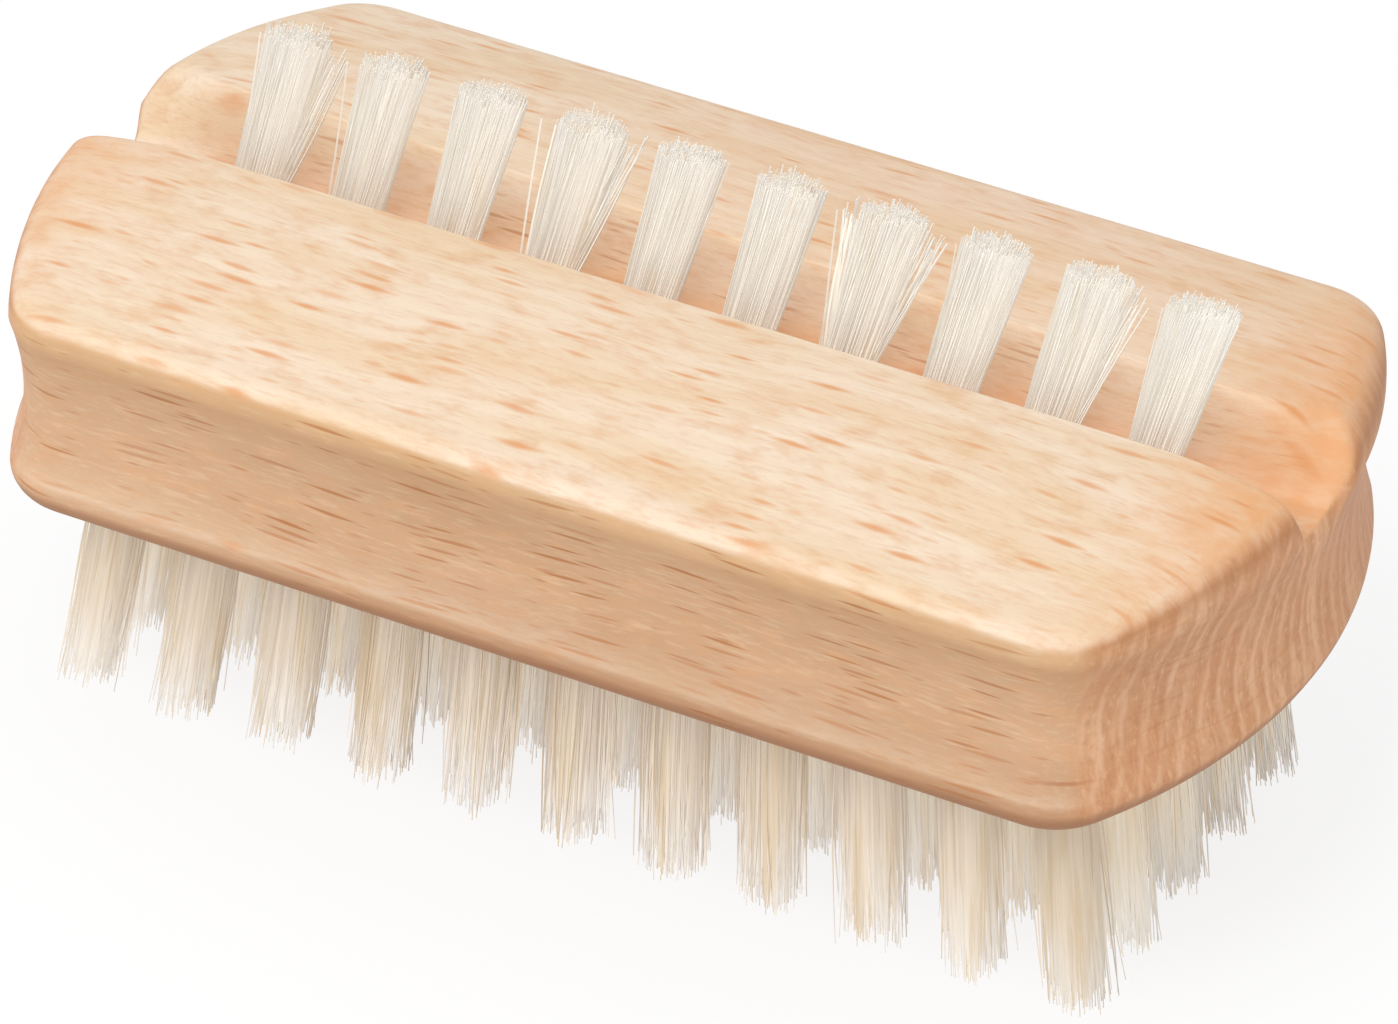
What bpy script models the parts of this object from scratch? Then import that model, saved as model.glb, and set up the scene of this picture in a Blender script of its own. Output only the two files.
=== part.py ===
# Double-sided hand and nail brush: a grooved wooden block, a field of long tufts under it and one row of
# short tufts in a channel along its top. Metres, +Z up, the block's length along X, standing on its tips.

import math
import random

import bmesh
import bpy
from mathutils import Vector

for old in list(bpy.data.objects):
    bpy.data.objects.remove(old, do_unlink=True)

# Wooden block, measured from its flat underside
block_length = 0.0950
block_width = 0.0500
end_bow = 0.0074
corner_radius = 0.0057
crest_height = 0.0190
edge_fall = 0.0025
channel_depth = 0.0060
channel_floor_width = 0.0050
channel_mouth_width = 0.0092
under_edge_radius = 0.0025
groove_depth = 0.0010
side_lip_width = 0.0024
end_lip_width = 0.0038
lip_height = 0.0024
channel_lip_height = 0.0018
end_fall = 0.0008
end_fall_length = 0.0080

# Rows of tufts
field_columns = 11
field_rows = 5
field_end_margin = 0.0115
field_side_margin = 0.0106
field_shift = 0.0006
field_free_length = 0.0194
field_splay_reach_x = 0.0028
field_splay_reach_y = 0.0010
field_trim = 0.0005
field_ragged = 0.0022
top_tufts = 10
top_end_margin = 0.0130
top_row_shift = 0.0005
top_rise = 0.0150
top_lean_reach = 0.0035
top_ragged = 0.0008

# Holes, tuft roots and anchors
hole_radius = 0.0022
clearance = 0.0003
web_thickness = 0.0024
collar_height = 0.0003
field_spread = 0.0008
top_spread = 0.0008
strand_jitter = 0.0001
cut_overrun = 0.0020
bar_width = 0.0014
bar_height = 0.0012
anchor_thickness = 0.0003
anchor_height = 0.0012
anchor_bite = 0.0004
anchor_lift = 0.0008

# Counts and shares
hole_sides = 12
field_strands = 6
top_strands = 9
corner_steps = 5
edge_steps = 4
side_steps = 6
lip_steps = 5
lip_sweep_share = 0.85
strand_share = 0.80
strand_tip_share = 0.62
rail_crown_power = 1.8
wall_shares = (0.0, 0.14, 0.28, 0.42, 0.56, 0.70, 0.84, 1.0)
rail_shares = (0.12, 0.28, 0.46, 0.64, 0.82)
end_station_shares = (0.18, 0.50, 1.0)

floor_height = crest_height - channel_depth
hole_depth = (floor_height - web_thickness) / 2
root_radius = hole_radius - clearance
lip_foot = crest_height - edge_fall - lip_height
field_pitch_x = (block_length - 2 * field_end_margin) / (field_columns - 1)
field_pitch_y = (block_width - 2 * field_side_margin) / (field_rows - 1)
top_pitch = (block_length - 2 * top_end_margin) / (top_tufts - 1)
underside = field_free_length

parts = bpy.data.collections.new("Hand brush")
bpy.context.scene.collection.children.link(parts)
cutters = bpy.data.collections.new("Cutters")
bpy.context.scene.collection.children.link(cutters)


def material(name, colour, roughness, metallic):
    made = bpy.data.materials.new(name)
    made.use_nodes = True
    shader = made.node_tree.nodes["Principled BSDF"]
    shader.inputs["Base Color"].default_value = (*colour, 1)
    shader.inputs["Roughness"].default_value = roughness
    shader.inputs["Metallic"].default_value = metallic
    return made


def piece(name, mesh, colour, roughness, metallic):
    body = bpy.data.objects.new(name, mesh)
    body.data.materials.append(material(name, colour, roughness, metallic))
    parts.objects.link(body)
    return body


def cutter(name, mesh):
    tool = bpy.data.objects.new(name, mesh)
    tool.hide_render = True
    tool.display_type = "WIRE"
    cutters.objects.link(tool)
    return tool


def boolean(body, tool, operation):
    step = body.modifiers.new(tool.name, "BOOLEAN")
    step.operation = operation
    step.solver = "EXACT"
    step.object = tool


def local_axes(out):
    across = Vector((0, 1, 0))
    across = (across - out * across.dot(out)).normalized()
    return across.cross(out), across


def add_prism(shape, foot, out, length, radius, sides):
    along, across = local_axes(out)
    rings = []
    for height in (0, length):
        centre = foot + out * height
        ring = []
        for corner in range(sides):
            angle = 2 * math.pi * corner / sides
            ring.append(shape.verts.new(
                centre + along * (radius * math.cos(angle)) + across * (radius * math.sin(angle))))
        rings.append(ring)
    low, high = rings
    shape.faces.new(low)
    shape.faces.new(high)
    for corner in range(sides):
        after = (corner + 1) % sides
        shape.faces.new((low[corner], low[after], high[after], high[corner]))


def add_box(shape, centre, along, across, out, sizes):
    corners = []
    for high in (-0.5, 0.5):
        for side, end in ((-0.5, -0.5), (-0.5, 0.5), (0.5, 0.5), (0.5, -0.5)):
            corners.append(shape.verts.new(
                centre + along * (sizes[0] * side) + across * (sizes[1] * end) + out * (sizes[2] * high)))
    shape.faces.new(corners[:4])
    shape.faces.new(corners[4:])
    for corner in range(4):
        after = (corner + 1) % 4
        shape.faces.new((corners[corner], corners[after], corners[after + 4], corners[corner + 4]))


def finish(shape, name):
    bmesh.ops.recalc_face_normals(shape, faces=shape.faces)
    mesh = bpy.data.meshes.new(name)
    shape.to_mesh(mesh)
    shape.free()
    return mesh


# The block's top across its width: a flat channel floor, rounded walls up to two crests, and crowned rails
# that fall to the outer edges
floor_half = channel_floor_width / 2
crest_half = channel_mouth_width / 2
rail_half = block_width / 2 - side_lip_width


def wall_share(y):
    share = (abs(y) - floor_half) / (crest_half - floor_half)
    share = min(1, max(0, share))
    return share * share * (3 - 2 * share)


def top_height(y, from_end):
    rail_share = max(0, abs(y) - crest_half) / (rail_half - crest_half)
    height = floor_height + channel_depth * wall_share(y) - edge_fall * rail_share ** rail_crown_power
    end_share = max(0, 1 - from_end / end_fall_length)
    return height - end_fall * wall_share(y) * max(0, 1 - rail_share) * end_share ** 2


# The block's outline: bowed ends, rounded corners and straight sides. Each point keeps its outward normal,
# the width of the lip there and the height of the top where that lip ends
bow_radius = (block_width ** 2 / 4 + end_bow ** 2) / (2 * end_bow)
bow_centre = block_length / 2 - bow_radius
corner_y = block_width / 2 - corner_radius
corner_x = bow_centre + math.sqrt((bow_radius - corner_radius) ** 2 - corner_y ** 2)
corner_angle = math.atan2(corner_y, corner_x - bow_centre)
lip_radius = bow_radius - end_lip_width

half_ys = [0]
for share in wall_shares:
    half_ys.append(floor_half + (crest_half - floor_half) * share)
bow_limit = lip_radius * math.sin(corner_angle)
for share in rail_shares:
    half_ys.append(crest_half + (bow_limit - crest_half) * share)
bow_ys = [-y for y in reversed(half_ys[1:])] + half_ys

right_end = []
for step in range(corner_steps, -1, -1):
    turn = step / corner_steps
    angle = -(corner_angle + (math.pi / 2 - corner_angle) * turn)
    normal = Vector((math.cos(angle), math.sin(angle), 0))
    point = Vector((corner_x, -corner_y, 0)) + normal * corner_radius
    right_end.append((point, normal, end_lip_width + (side_lip_width - end_lip_width) * turn))
for y in bow_ys:
    angle = math.asin(y / lip_radius)
    normal = Vector((math.cos(angle), math.sin(angle), 0))
    point = Vector((bow_centre, 0, 0)) + normal * bow_radius
    right_end.append((point, normal, end_lip_width))
for step in range(corner_steps + 1):
    turn = step / corner_steps
    angle = corner_angle + (math.pi / 2 - corner_angle) * turn
    normal = Vector((math.cos(angle), math.sin(angle), 0))
    point = Vector((corner_x, corner_y, 0)) + normal * corner_radius
    right_end.append((point, normal, end_lip_width + (side_lip_width - end_lip_width) * turn))

stations = [end_fall_length * share for share in end_station_shares]


def side_points(y_sign, distances):
    normal = Vector((0, y_sign, 0))
    found = []
    for distance in distances:
        point = Vector((corner_x - distance, y_sign * block_width / 2, 0))
        found.append((point, normal, side_lip_width, distance))
    return found


def mirrored(items):
    found = []
    for point, normal, lip, distance in items:
        turned = Vector((-normal.x, normal.y, 0))
        found.append((Vector((-point.x, point.y, 0)), turned, lip, distance))
    return found


right = [(point, normal, lip, 0) for point, normal, lip in right_end]
far_side = side_points(1, stations)
near_side = side_points(-1, stations)
outline = right + far_side + mirrored(list(reversed(far_side)))
outline += mirrored(list(reversed(right)))
outline += mirrored(near_side) + list(reversed(near_side))


def groove_inset(z):
    share = (z - under_edge_radius) / (lip_foot - under_edge_radius)
    share = min(1, max(0, share))
    return groove_depth * 4 * share * (1 - share)


def section(lip, top):
    rows = []
    for step in range(edge_steps + 1):
        angle = math.pi / 2 * step / edge_steps
        rows.append((under_edge_radius * (1 - math.sin(angle)), under_edge_radius * (1 - math.cos(angle))))
    foot = min(lip_foot, top - channel_lip_height)
    for step in range(1, side_steps + 1):
        z = under_edge_radius + (foot - under_edge_radius) * step / side_steps
        rows.append((groove_inset(z), z))
    start = groove_inset(foot)
    sweep = math.pi / 2 * lip_sweep_share
    for step in range(1, lip_steps + 1):
        angle = sweep * step / lip_steps
        inward = (1 - math.cos(angle)) / (1 - math.cos(sweep))
        upward = math.sin(angle) / math.sin(sweep)
        rows.append((start + (lip - start) * inward, foot + (top - foot) * upward))
    return rows


wood = bmesh.new()
rings = []
for point, normal, lip, distance in outline:
    inner = point - normal * lip
    ring = []
    for inset, z in section(lip, top_height(inner.y, distance)):
        spot = point - normal * inset
        ring.append(wood.verts.new((spot.x, spot.y, underside + z)))
    rings.append(ring)
wood.faces.new([ring[0] for ring in rings])
for place, ring in enumerate(rings):
    after = rings[(place + 1) % len(rings)]
    for row in range(len(ring) - 1):
        wood.faces.new((ring[row], after[row], after[row + 1], ring[row + 1]))

# The top's grid of strips runs from one end's lip to the other end's
lines = len(right)
total = len(outline)
crossings = len(stations)
grid = []
for line in range(lines):
    right_top = rings[line][-1]
    left_top = rings[2 * lines + 2 * crossings - 1 - line][-1]
    if line == lines - 1:
        between = [rings[place][-1] for place in range(lines, lines + 2 * crossings)]
    elif line == 0:
        between = [rings[place][-1] for place in range(total - 1, total - 1 - 2 * crossings, -1)]
    else:
        spot = right_top.co
        between = []
        for distance in stations:
            z = underside + top_height(spot.y, distance)
            between.append(wood.verts.new((spot.x - distance, spot.y, z)))
        for distance in reversed(stations):
            z = underside + top_height(spot.y, distance)
            between.append(wood.verts.new((distance - spot.x, spot.y, z)))
    grid.append([right_top] + between + [left_top])
for line in range(lines - 1):
    for place in range(len(grid[line]) - 1):
        wood.faces.new((grid[line][place], grid[line][place + 1],
                        grid[line + 1][place + 1], grid[line + 1][place]))
for face in wood.faces:
    face.smooth = True
block = piece("wooden_block", finish(wood, "wooden_block"), (0.83, 0.62, 0.42), 0.62, 0)


# Places and directions of the tufts: the field splays out towards its edges, the top row leans along X
def field_place(column, row):
    x_share = 2 * column / (field_columns - 1) - 1
    y_share = 2 * row / (field_rows - 1) - 1
    mouth = Vector((x_share * field_pitch_x * (field_columns - 1) / 2 - field_shift,
                    y_share * field_pitch_y * (field_rows - 1) / 2, underside))
    out = Vector((x_share * field_splay_reach_x, y_share * field_splay_reach_y, -field_free_length))
    return mouth, out.normalized()


def top_place(number):
    x = top_pitch * (number - (top_tufts - 1) / 2) - top_row_shift
    out = Vector((top_lean_reach, 0, top_rise))
    return Vector((x, 0, underside + floor_height)), out.normalized()


# One tuft: a round root in its hole, whose outer face is split into sectors, each drawn out as one
# three-sided strand that ends in a level cut
def add_tuft(shape, mouth, out, strands, spread, end_heights, chance):
    along, across = local_axes(out)
    foot = mouth - out * (hole_depth - clearance)
    cap = mouth + out * collar_height
    low = []
    high = []
    for corner in range(strands):
        angle = 2 * math.pi * corner / strands
        arm = along * (root_radius * math.cos(angle)) + across * (root_radius * math.sin(angle))
        low.append(shape.verts.new(foot + arm))
        high.append(shape.verts.new(cap + arm))
    middle = shape.verts.new(cap)
    shape.faces.new(low)
    for corner in range(strands):
        after = (corner + 1) % strands
        shape.faces.new((low[corner], low[after], high[after], high[corner]))
        sector = (middle, high[corner], high[after])
        heart = (middle.co + high[corner].co + high[after].co) / 3
        outward = (heart - cap).normalized()
        wobble = along * chance.uniform(-strand_jitter, strand_jitter)
        wobble += across * chance.uniform(-strand_jitter, strand_jitter)
        root = []
        tip = []
        for vertex in sector:
            start = heart + (vertex.co - heart) * strand_share
            rise = abs(end_heights[corner] - start.z)
            aim = heart + out * (rise / abs(out.z)) + outward * spread + wobble
            aim += (vertex.co - heart) * strand_share * strand_tip_share
            path = aim - start
            end = start + path * ((end_heights[corner] - start.z) / path.z)
            root.append(shape.verts.new(start))
            tip.append(shape.verts.new(end))
        for side in range(3):
            next_side = (side + 1) % 3
            shape.faces.new((sector[side], sector[next_side], root[next_side], root[side]))
            shape.faces.new((root[side], root[next_side], tip[next_side], tip[side]))
        shape.faces.new(tip)


def field_ends(chance):
    ends = [0]
    for strand in range(field_strands - 1):
        natural = field_ragged * chance.random() - field_trim
        ends.append(max(0, natural))
    chance.shuffle(ends)
    return ends


# Field tufts of the outer ring, each a piece of its own
horn_white = (0.74, 0.62, 0.47)
chance = random.Random(7)
holes = bmesh.new()
for row in range(field_rows):
    for column in range(field_columns):
        mouth, out = field_place(column, row)
        add_prism(holes, mouth - out * hole_depth, out, hole_depth + cut_overrun, hole_radius, hole_sides)
        if 0 < row < field_rows - 1 and 0 < column < field_columns - 1:
            continue
        tuft = bmesh.new()
        add_tuft(tuft, mouth, out, field_strands, field_spread, field_ends(chance), chance)
        name = f"field_tuft_row{row + 1}_col{column + 1:02d}"
        piece(name, finish(tuft, name), horn_white, 0.45, 0)

# Inner field tufts, joined in each column by a bar that lies hidden at the bottom of their holes
tunnels = bmesh.new()
bar_rise = hole_depth - clearance - bar_height / 2
for column in range(1, field_columns - 1):
    name = f"field_tufts_inner_col{column + 1:02d}"
    tufts = bmesh.new()
    mouths = []
    for row in range(1, field_rows - 1):
        mouth, out = field_place(column, row)
        mouths.append(mouth - out * bar_rise)
        add_tuft(tufts, mouth, out, field_strands, field_spread, field_ends(chance), chance)
    body = piece(name, finish(tufts, name), horn_white, 0.45, 0)
    middle = (mouths[0] + mouths[-1]) / 2
    span = mouths[-1].y - mouths[0].y
    axes = (Vector((1, 0, 0)), Vector((0, 1, 0)), Vector((0, 0, 1)))
    bar = bmesh.new()
    add_box(bar, middle, *axes, (bar_width, span, bar_height))
    boolean(body, cutter(f"bar_col{column + 1:02d}", finish(bar, name + "_bar")), "UNION")
    room = 2 * clearance
    add_box(tunnels, middle, *axes, (bar_width + room, span, bar_height + room))

# Top row: each tuft is folded round a flat metal anchor whose ends bite into the hole's wall
slots = bmesh.new()
for number in range(top_tufts):
    mouth, out = top_place(number)
    along, across = local_axes(out)
    add_prism(holes, mouth - out * hole_depth, out, hole_depth + cut_overrun, hole_radius, hole_sides)
    tip_height = mouth.z + top_rise
    ends = [tip_height - top_ragged * chance.random() for strand in range(top_strands)]
    tuft = bmesh.new()
    add_tuft(tuft, mouth, out, top_strands, top_spread, ends, chance)
    name = f"top_tuft_{number + 1:02d}"
    body = piece(name, finish(tuft, name), (0.90, 0.83, 0.72), 0.40, 0)
    seat = mouth - out * (hole_depth - clearance - anchor_lift - anchor_height / 2)
    anchor_span = 2 * (hole_radius + anchor_bite)
    window = bmesh.new()
    room = 2 * clearance
    add_box(window, seat, along, across, out,
            (anchor_thickness + room, 2 * root_radius + room, anchor_height + room))
    boolean(body, cutter(f"window_{number + 1:02d}", finish(window, name + "_window")), "DIFFERENCE")
    anchor = bmesh.new()
    add_box(anchor, seat, along, across, out, (anchor_thickness, anchor_span, anchor_height))
    name = f"top_anchor_{number + 1:02d}"
    piece(name, finish(anchor, name), (0.72, 0.70, 0.66), 0.35, 1)
    add_box(slots, seat, along, across, out,
            (anchor_thickness + room, anchor_span + room, anchor_height + room))

boolean(block, cutter("tuft_holes", finish(holes, "tuft_holes")), "DIFFERENCE")
boolean(block, cutter("bar_tunnels", finish(tunnels, "bar_tunnels")), "DIFFERENCE")
boolean(block, cutter("anchor_slots", finish(slots, "anchor_slots")), "DIFFERENCE")
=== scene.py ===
import math
import random

import bmesh
import bpy
from mathutils import Matrix, Vector


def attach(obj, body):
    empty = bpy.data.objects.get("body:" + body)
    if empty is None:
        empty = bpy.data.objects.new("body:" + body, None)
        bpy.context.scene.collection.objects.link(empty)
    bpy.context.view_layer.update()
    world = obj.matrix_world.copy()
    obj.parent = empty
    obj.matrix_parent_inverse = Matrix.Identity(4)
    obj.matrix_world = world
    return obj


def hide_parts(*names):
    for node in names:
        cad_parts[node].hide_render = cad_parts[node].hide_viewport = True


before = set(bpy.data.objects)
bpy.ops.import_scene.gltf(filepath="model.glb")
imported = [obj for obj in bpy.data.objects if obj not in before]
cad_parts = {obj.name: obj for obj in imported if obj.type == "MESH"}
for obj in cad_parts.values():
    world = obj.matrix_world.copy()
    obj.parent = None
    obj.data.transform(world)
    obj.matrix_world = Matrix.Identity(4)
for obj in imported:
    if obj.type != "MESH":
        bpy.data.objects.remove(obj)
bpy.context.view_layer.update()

# The block is one piece of pale beech, planed and sanded: bowed ends, a shallow finger groove routed all
# round, and two crowned rails with a round-walled channel between them. 55 holes are drilled in its underside
# and 10 in the channel's floor, each splayed the way its tuft points.
block_length = 0.0950
block_width = 0.0500
end_bow = 0.0074
corner_radius = 0.0057
crest_height = 0.0190
edge_fall = 0.0025
channel_depth = 0.0060
channel_floor_width = 0.0050
channel_mouth_width = 0.0092
groove_depth = 0.0010
underside = 0.0194

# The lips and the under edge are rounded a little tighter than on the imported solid, as the photograph shows
under_edge_radius = 0.0022
side_lip_width = 0.0024
end_lip_width = 0.0030
lip_height = 0.0024
channel_lip_height = 0.0018
end_fall = 0.0008
end_fall_length = 0.0080
rail_crown_power = 1.8
mouth_flare = 0.0024
mouth_length = 0.0070
near_snugness = 0.58
far_snugness = 0.85
channel_snugness = 0.70
channel_end_lip = 0.0012
lip_sweep = math.pi / 2 * 0.80
crease_angle = math.radians(28)

floor_height = crest_height - channel_depth
floor_half = channel_floor_width / 2
crest_half = channel_mouth_width / 2
rail_half = block_width / 2 - side_lip_width
lip_foot = crest_height - edge_fall - lip_height
bow_radius = (block_width ** 2 / 4 + end_bow ** 2) / (2 * end_bow)
bow_centre = block_length / 2 - bow_radius
corner_y = block_width / 2 - corner_radius
corner_x = bow_centre + math.sqrt((bow_radius - corner_radius) ** 2 - corner_y ** 2)
corner_angle = math.atan2(corner_y, corner_x - bow_centre)
lip_radius = bow_radius - end_lip_width


def wall_share(y, from_end):
    crest = crest_half + mouth_flare * (y > 0) * max(0, 1 - from_end / mouth_length) ** 2
    share = min(1, max(0, (abs(y) - floor_half) / (crest - floor_half)))
    return share * share * (3 - 2 * share)


def top_height(y, from_end):
    rail_share = max(0, abs(y) - crest_half) / (rail_half - crest_half)
    wall = wall_share(y, from_end)
    height = floor_height + channel_depth * wall - edge_fall * rail_share ** rail_crown_power
    end_share = max(0, 1 - from_end / end_fall_length)
    return height - end_fall * wall * max(0, 1 - rail_share) * end_share ** 2


def groove_inset(z):
    share = min(1, max(0, (z - under_edge_radius) / (lip_foot - under_edge_radius)))
    return groove_depth * 4 * share * (1 - share)


def block_section(lip, top, y, edge_steps=8, side_steps=20, lip_steps=14):
    rows = []
    for step in range(edge_steps + 1):
        angle = math.pi / 2 * step / edge_steps
        rows.append((under_edge_radius * (1 - math.sin(angle)), under_edge_radius * (1 - math.cos(angle))))
    foot = min(lip_foot, top - channel_lip_height)
    for step in range(1, side_steps + 1):
        z = under_edge_radius + (foot - under_edge_radius) * step / side_steps
        rows.append((groove_inset(z), z))
    start = groove_inset(foot)
    rail_snugness = near_snugness if y < 0 else far_snugness
    power = channel_snugness + (rail_snugness - channel_snugness) * wall_share(y, 0)
    for step in range(1, lip_steps + 1):
        angle = lip_sweep * step / lip_steps
        inward = (1 - math.cos(angle) ** power) / (1 - math.cos(lip_sweep) ** power)
        risen = (math.sin(angle) / math.sin(lip_sweep)) ** power
        rows.append((start + (lip - start) * inward, foot + (top - foot) * risen))
    return rows


# A point of the outline has its place, its outward direction, its lip's width and its distance from the end
def mirrored(outline, x_sign, y_sign):
    turn = Vector((x_sign, y_sign, 1))
    return [(point * turn, normal * turn, lip, distance) for point, normal, lip, distance in outline]


def spaced(start, end, steps):
    return [start + (end - start) * step / steps for step in range(steps)]


def block_outline():
    corner_steps = 12
    wall_steps = 14
    flare_steps = 6
    rail_steps = 14
    length_steps = 36
    flared = crest_half + mouth_flare
    bow_limit = lip_radius * math.sin(corner_angle)
    half_ys = [0, floor_half / 2] + spaced(floor_half, crest_half, wall_steps)
    half_ys += spaced(crest_half, flared, flare_steps) + spaced(flared, bow_limit, rail_steps)
    corner = []
    for step in range(corner_steps + 1):
        turn = step / corner_steps
        angle = corner_angle + (math.pi / 2 - corner_angle) * turn
        normal = Vector((math.cos(angle), math.sin(angle), 0))
        point = Vector((corner_x, corner_y, 0)) + normal * corner_radius
        corner.append((point, normal, end_lip_width + (side_lip_width - end_lip_width) * turn, 0))
    bow = []
    for y in [-y for y in reversed(half_ys[1:])] + half_ys:
        lip = channel_end_lip + (end_lip_width - channel_end_lip) * wall_share(y, 0)
        angle = math.asin(y / (bow_radius - lip))
        normal = Vector((math.cos(angle), math.sin(angle), 0))
        bow.append((Vector((bow_centre, 0, 0)) + normal * bow_radius, normal, lip, 0))
    right = mirrored(corner[::-1], 1, -1) + bow + corner
    end_shares = (0.06, 0.13, 0.21, 0.3, 0.4, 0.51, 0.65, 0.82)
    from_right = [corner_x - end_fall_length * share for share in end_shares]
    inner = corner_x - end_fall_length
    along = from_right + spaced(inner, -inner, length_steps) + [-inner] + [-x for x in reversed(from_right)]
    half_width = block_width / 2
    far = [(Vector((x, half_width, 0)), Vector((0, 1, 0)), side_lip_width, corner_x - abs(x)) for x in along]
    return right, far, mirrored(right[::-1], -1, 1), mirrored(far, -1, -1)


def block_mesh():
    right, far, left, near = block_outline()
    outline = right + far + left + near
    wood = bmesh.new()
    rings = []
    for point, normal, lip, distance in outline:
        inner = point - normal * lip
        ring = []
        for inset, z in block_section(lip, top_height(inner.y, distance), inner.y):
            spot = point - normal * inset
            ring.append(wood.verts.new((spot.x, spot.y, underside + z)))
        rings.append(ring)
    wood.faces.new([ring[0] for ring in rings])
    for place, ring in enumerate(rings):
        after = rings[(place + 1) % len(rings)]
        for row in range(len(ring) - 1):
            wood.faces.new((ring[row], after[row], after[row + 1], ring[row + 1]))
    lines = len(right)
    crossings = len(far)
    grid = []
    for line in range(lines):
        right_top = rings[line][-1]
        left_top = rings[2 * lines + crossings - 1 - line][-1]
        if line == lines - 1:
            between = [rings[lines + place][-1] for place in range(crossings)]
        elif line == 0:
            between = [rings[len(outline) - 1 - place][-1] for place in range(crossings)]
        else:
            between = []
            for point, normal, lip, distance in far:
                if distance < end_fall_length:
                    x = math.copysign(right_top.co.x - distance, point.x)
                else:
                    x = point.x * (right_top.co.x - end_fall_length) / (corner_x - end_fall_length)
                z = underside + top_height(right_top.co.y, distance)
                between.append(wood.verts.new((x, right_top.co.y, z)))
        grid.append([right_top] + between + [left_top])
    for line in range(lines - 1):
        for place in range(len(grid[line]) - 1):
            wood.faces.new((grid[line][place], grid[line][place + 1],
                            grid[line + 1][place + 1], grid[line + 1][place]))
    bmesh.ops.recalc_face_normals(wood, faces=wood.faces)
    mesh = bpy.data.meshes.new("beech_block")
    wood.to_mesh(mesh)
    wood.free()
    return mesh


# Places and directions of the tufts, as drilled
hole_radius = 0.0022
web_between_holes = 0.0024
hole_depth = (floor_height - web_between_holes) / 2
field_columns = 11
field_rows = 5
field_end_margin = 0.0115
field_side_margin = 0.0106
field_length = block_length - 2 * field_end_margin
field_width = block_width - 2 * field_side_margin
field_shift = 0.0006
field_splay = (0.0028, 0.0010)
top_tufts = 10
top_end_margin = 0.0130
top_pitch = (block_length - 2 * top_end_margin) / (top_tufts - 1)
top_row_shift = 0.0005
top_rise = 0.0150
top_lean_reach = 0.0035


def field_place(column, row):
    x_share = 2 * column / (field_columns - 1) - 1
    y_share = 2 * row / (field_rows - 1) - 1
    mouth = Vector((x_share * field_length / 2 - field_shift, y_share * field_width / 2, underside))
    return mouth, Vector((x_share * field_splay[0], y_share * field_splay[1], -underside)).normalized()


def top_place(number):
    x = top_pitch * (number - (top_tufts - 1) / 2) - top_row_shift
    return Vector((x, 0, underside + floor_height)), Vector((top_lean_reach, 0, top_rise)).normalized()


def drill_mesh():
    places = [field_place(column, row) for row in range(field_rows) for column in range(field_columns)]
    places += [top_place(number) for number in range(top_tufts)]
    drills = bmesh.new()
    sides = 28
    chamfer = 0.00018
    clear_of_wood = 0.0012
    profile = ((-hole_depth, hole_radius), (-chamfer, hole_radius), (chamfer, hole_radius + 2 * chamfer),
               (clear_of_wood, hole_radius + 2 * chamfer))
    for mouth, out in places:
        across = (Vector((0, 1, 0)) - out * out.y).normalized()
        along = across.cross(out)
        rings = []
        for height, radius in profile:
            ring = []
            for side in range(sides):
                angle = 2 * math.pi * side / sides
                arm = along * (radius * math.cos(angle)) + across * (radius * math.sin(angle))
                ring.append(drills.verts.new(mouth + out * height + arm))
            rings.append(ring)
        drills.faces.new(rings[0])
        drills.faces.new(rings[-1])
        for low, high in zip(rings, rings[1:]):
            for side in range(sides):
                after = (side + 1) % sides
                drills.faces.new((low[side], low[after], high[after], high[side]))
    bmesh.ops.recalc_face_normals(drills, faces=drills.faces)
    mesh = bpy.data.meshes.new("drills")
    drills.to_mesh(mesh)
    drills.free()
    return mesh


def settled_mesh(body, name):
    settled = body.evaluated_get(bpy.context.evaluated_depsgraph_get())
    mesh = bpy.data.meshes.new_from_object(settled)
    mesh.name = name
    return mesh


block = bpy.data.objects.new("beech_block", block_mesh())
bpy.context.scene.collection.objects.link(block)
drills = bpy.data.objects.new("drills", drill_mesh())
bpy.context.scene.collection.objects.link(drills)
drilling = block.modifiers.new("drilling", "BOOLEAN")
drilling.operation = "DIFFERENCE"
drilling.solver = "EXACT"
drilling.object = drills
drilled = settled_mesh(block, "beech_block")
block.modifiers.clear()
block.data = drilled
bpy.data.objects.remove(drills)
edges = bmesh.new()
edges.from_mesh(drilled)
for face in edges.faces:
    face.smooth = True
for edge in edges.edges:
    edge.smooth = len(edge.link_faces) == 2 and edge.calc_face_angle(0) < crease_angle
edges.to_mesh(drilled)
edges.free()
# Where the lip turns, a share for painted shade and for the smoother rubbed wood of the rounded edge
lip_shade_tilt = 0.32
lip_shade_spread = 0.30
drilled.attributes.new("lip_wear_and_shade", "FLOAT", "POINT").data.foreach_set("value", [
    max(0, 1 - abs(corner.normal.z - lip_shade_tilt) / lip_shade_spread) * (corner.co.z > underside + lip_foot)
    for corner in drilled.vertices])


# Beech seen close: pale straw to pink wood, growth rings that stand upright across the ends, fine fibres
# along the length, and the ray flecks that show as short dark dashes on the sides and soft dabs on top
def node(tree, kind, inputs=None, **settings):
    made = tree.nodes.new(kind)
    for name, value in settings.items():
        setattr(made, name, value)
    for name, value in (inputs or {}).items():
        socket = made.inputs[name]
        if isinstance(value, bpy.types.NodeSocket):
            tree.links.new(value, socket)
        else:
            socket.default_value = value
    return made


def maths(tree, operation, first, second=0.0, third=0.0):
    return node(tree, "ShaderNodeMath", {0: first, 1: second, 2: third}, operation=operation).outputs[0]


def scaled(tree, place, scale):
    return node(tree, "ShaderNodeVectorMath", {0: place, 1: scale}, operation="MULTIPLY").outputs[0]


def shifted(tree, place, step):
    return node(tree, "ShaderNodeVectorMath", {0: place, 1: step}, operation="ADD").outputs[0]


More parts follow.
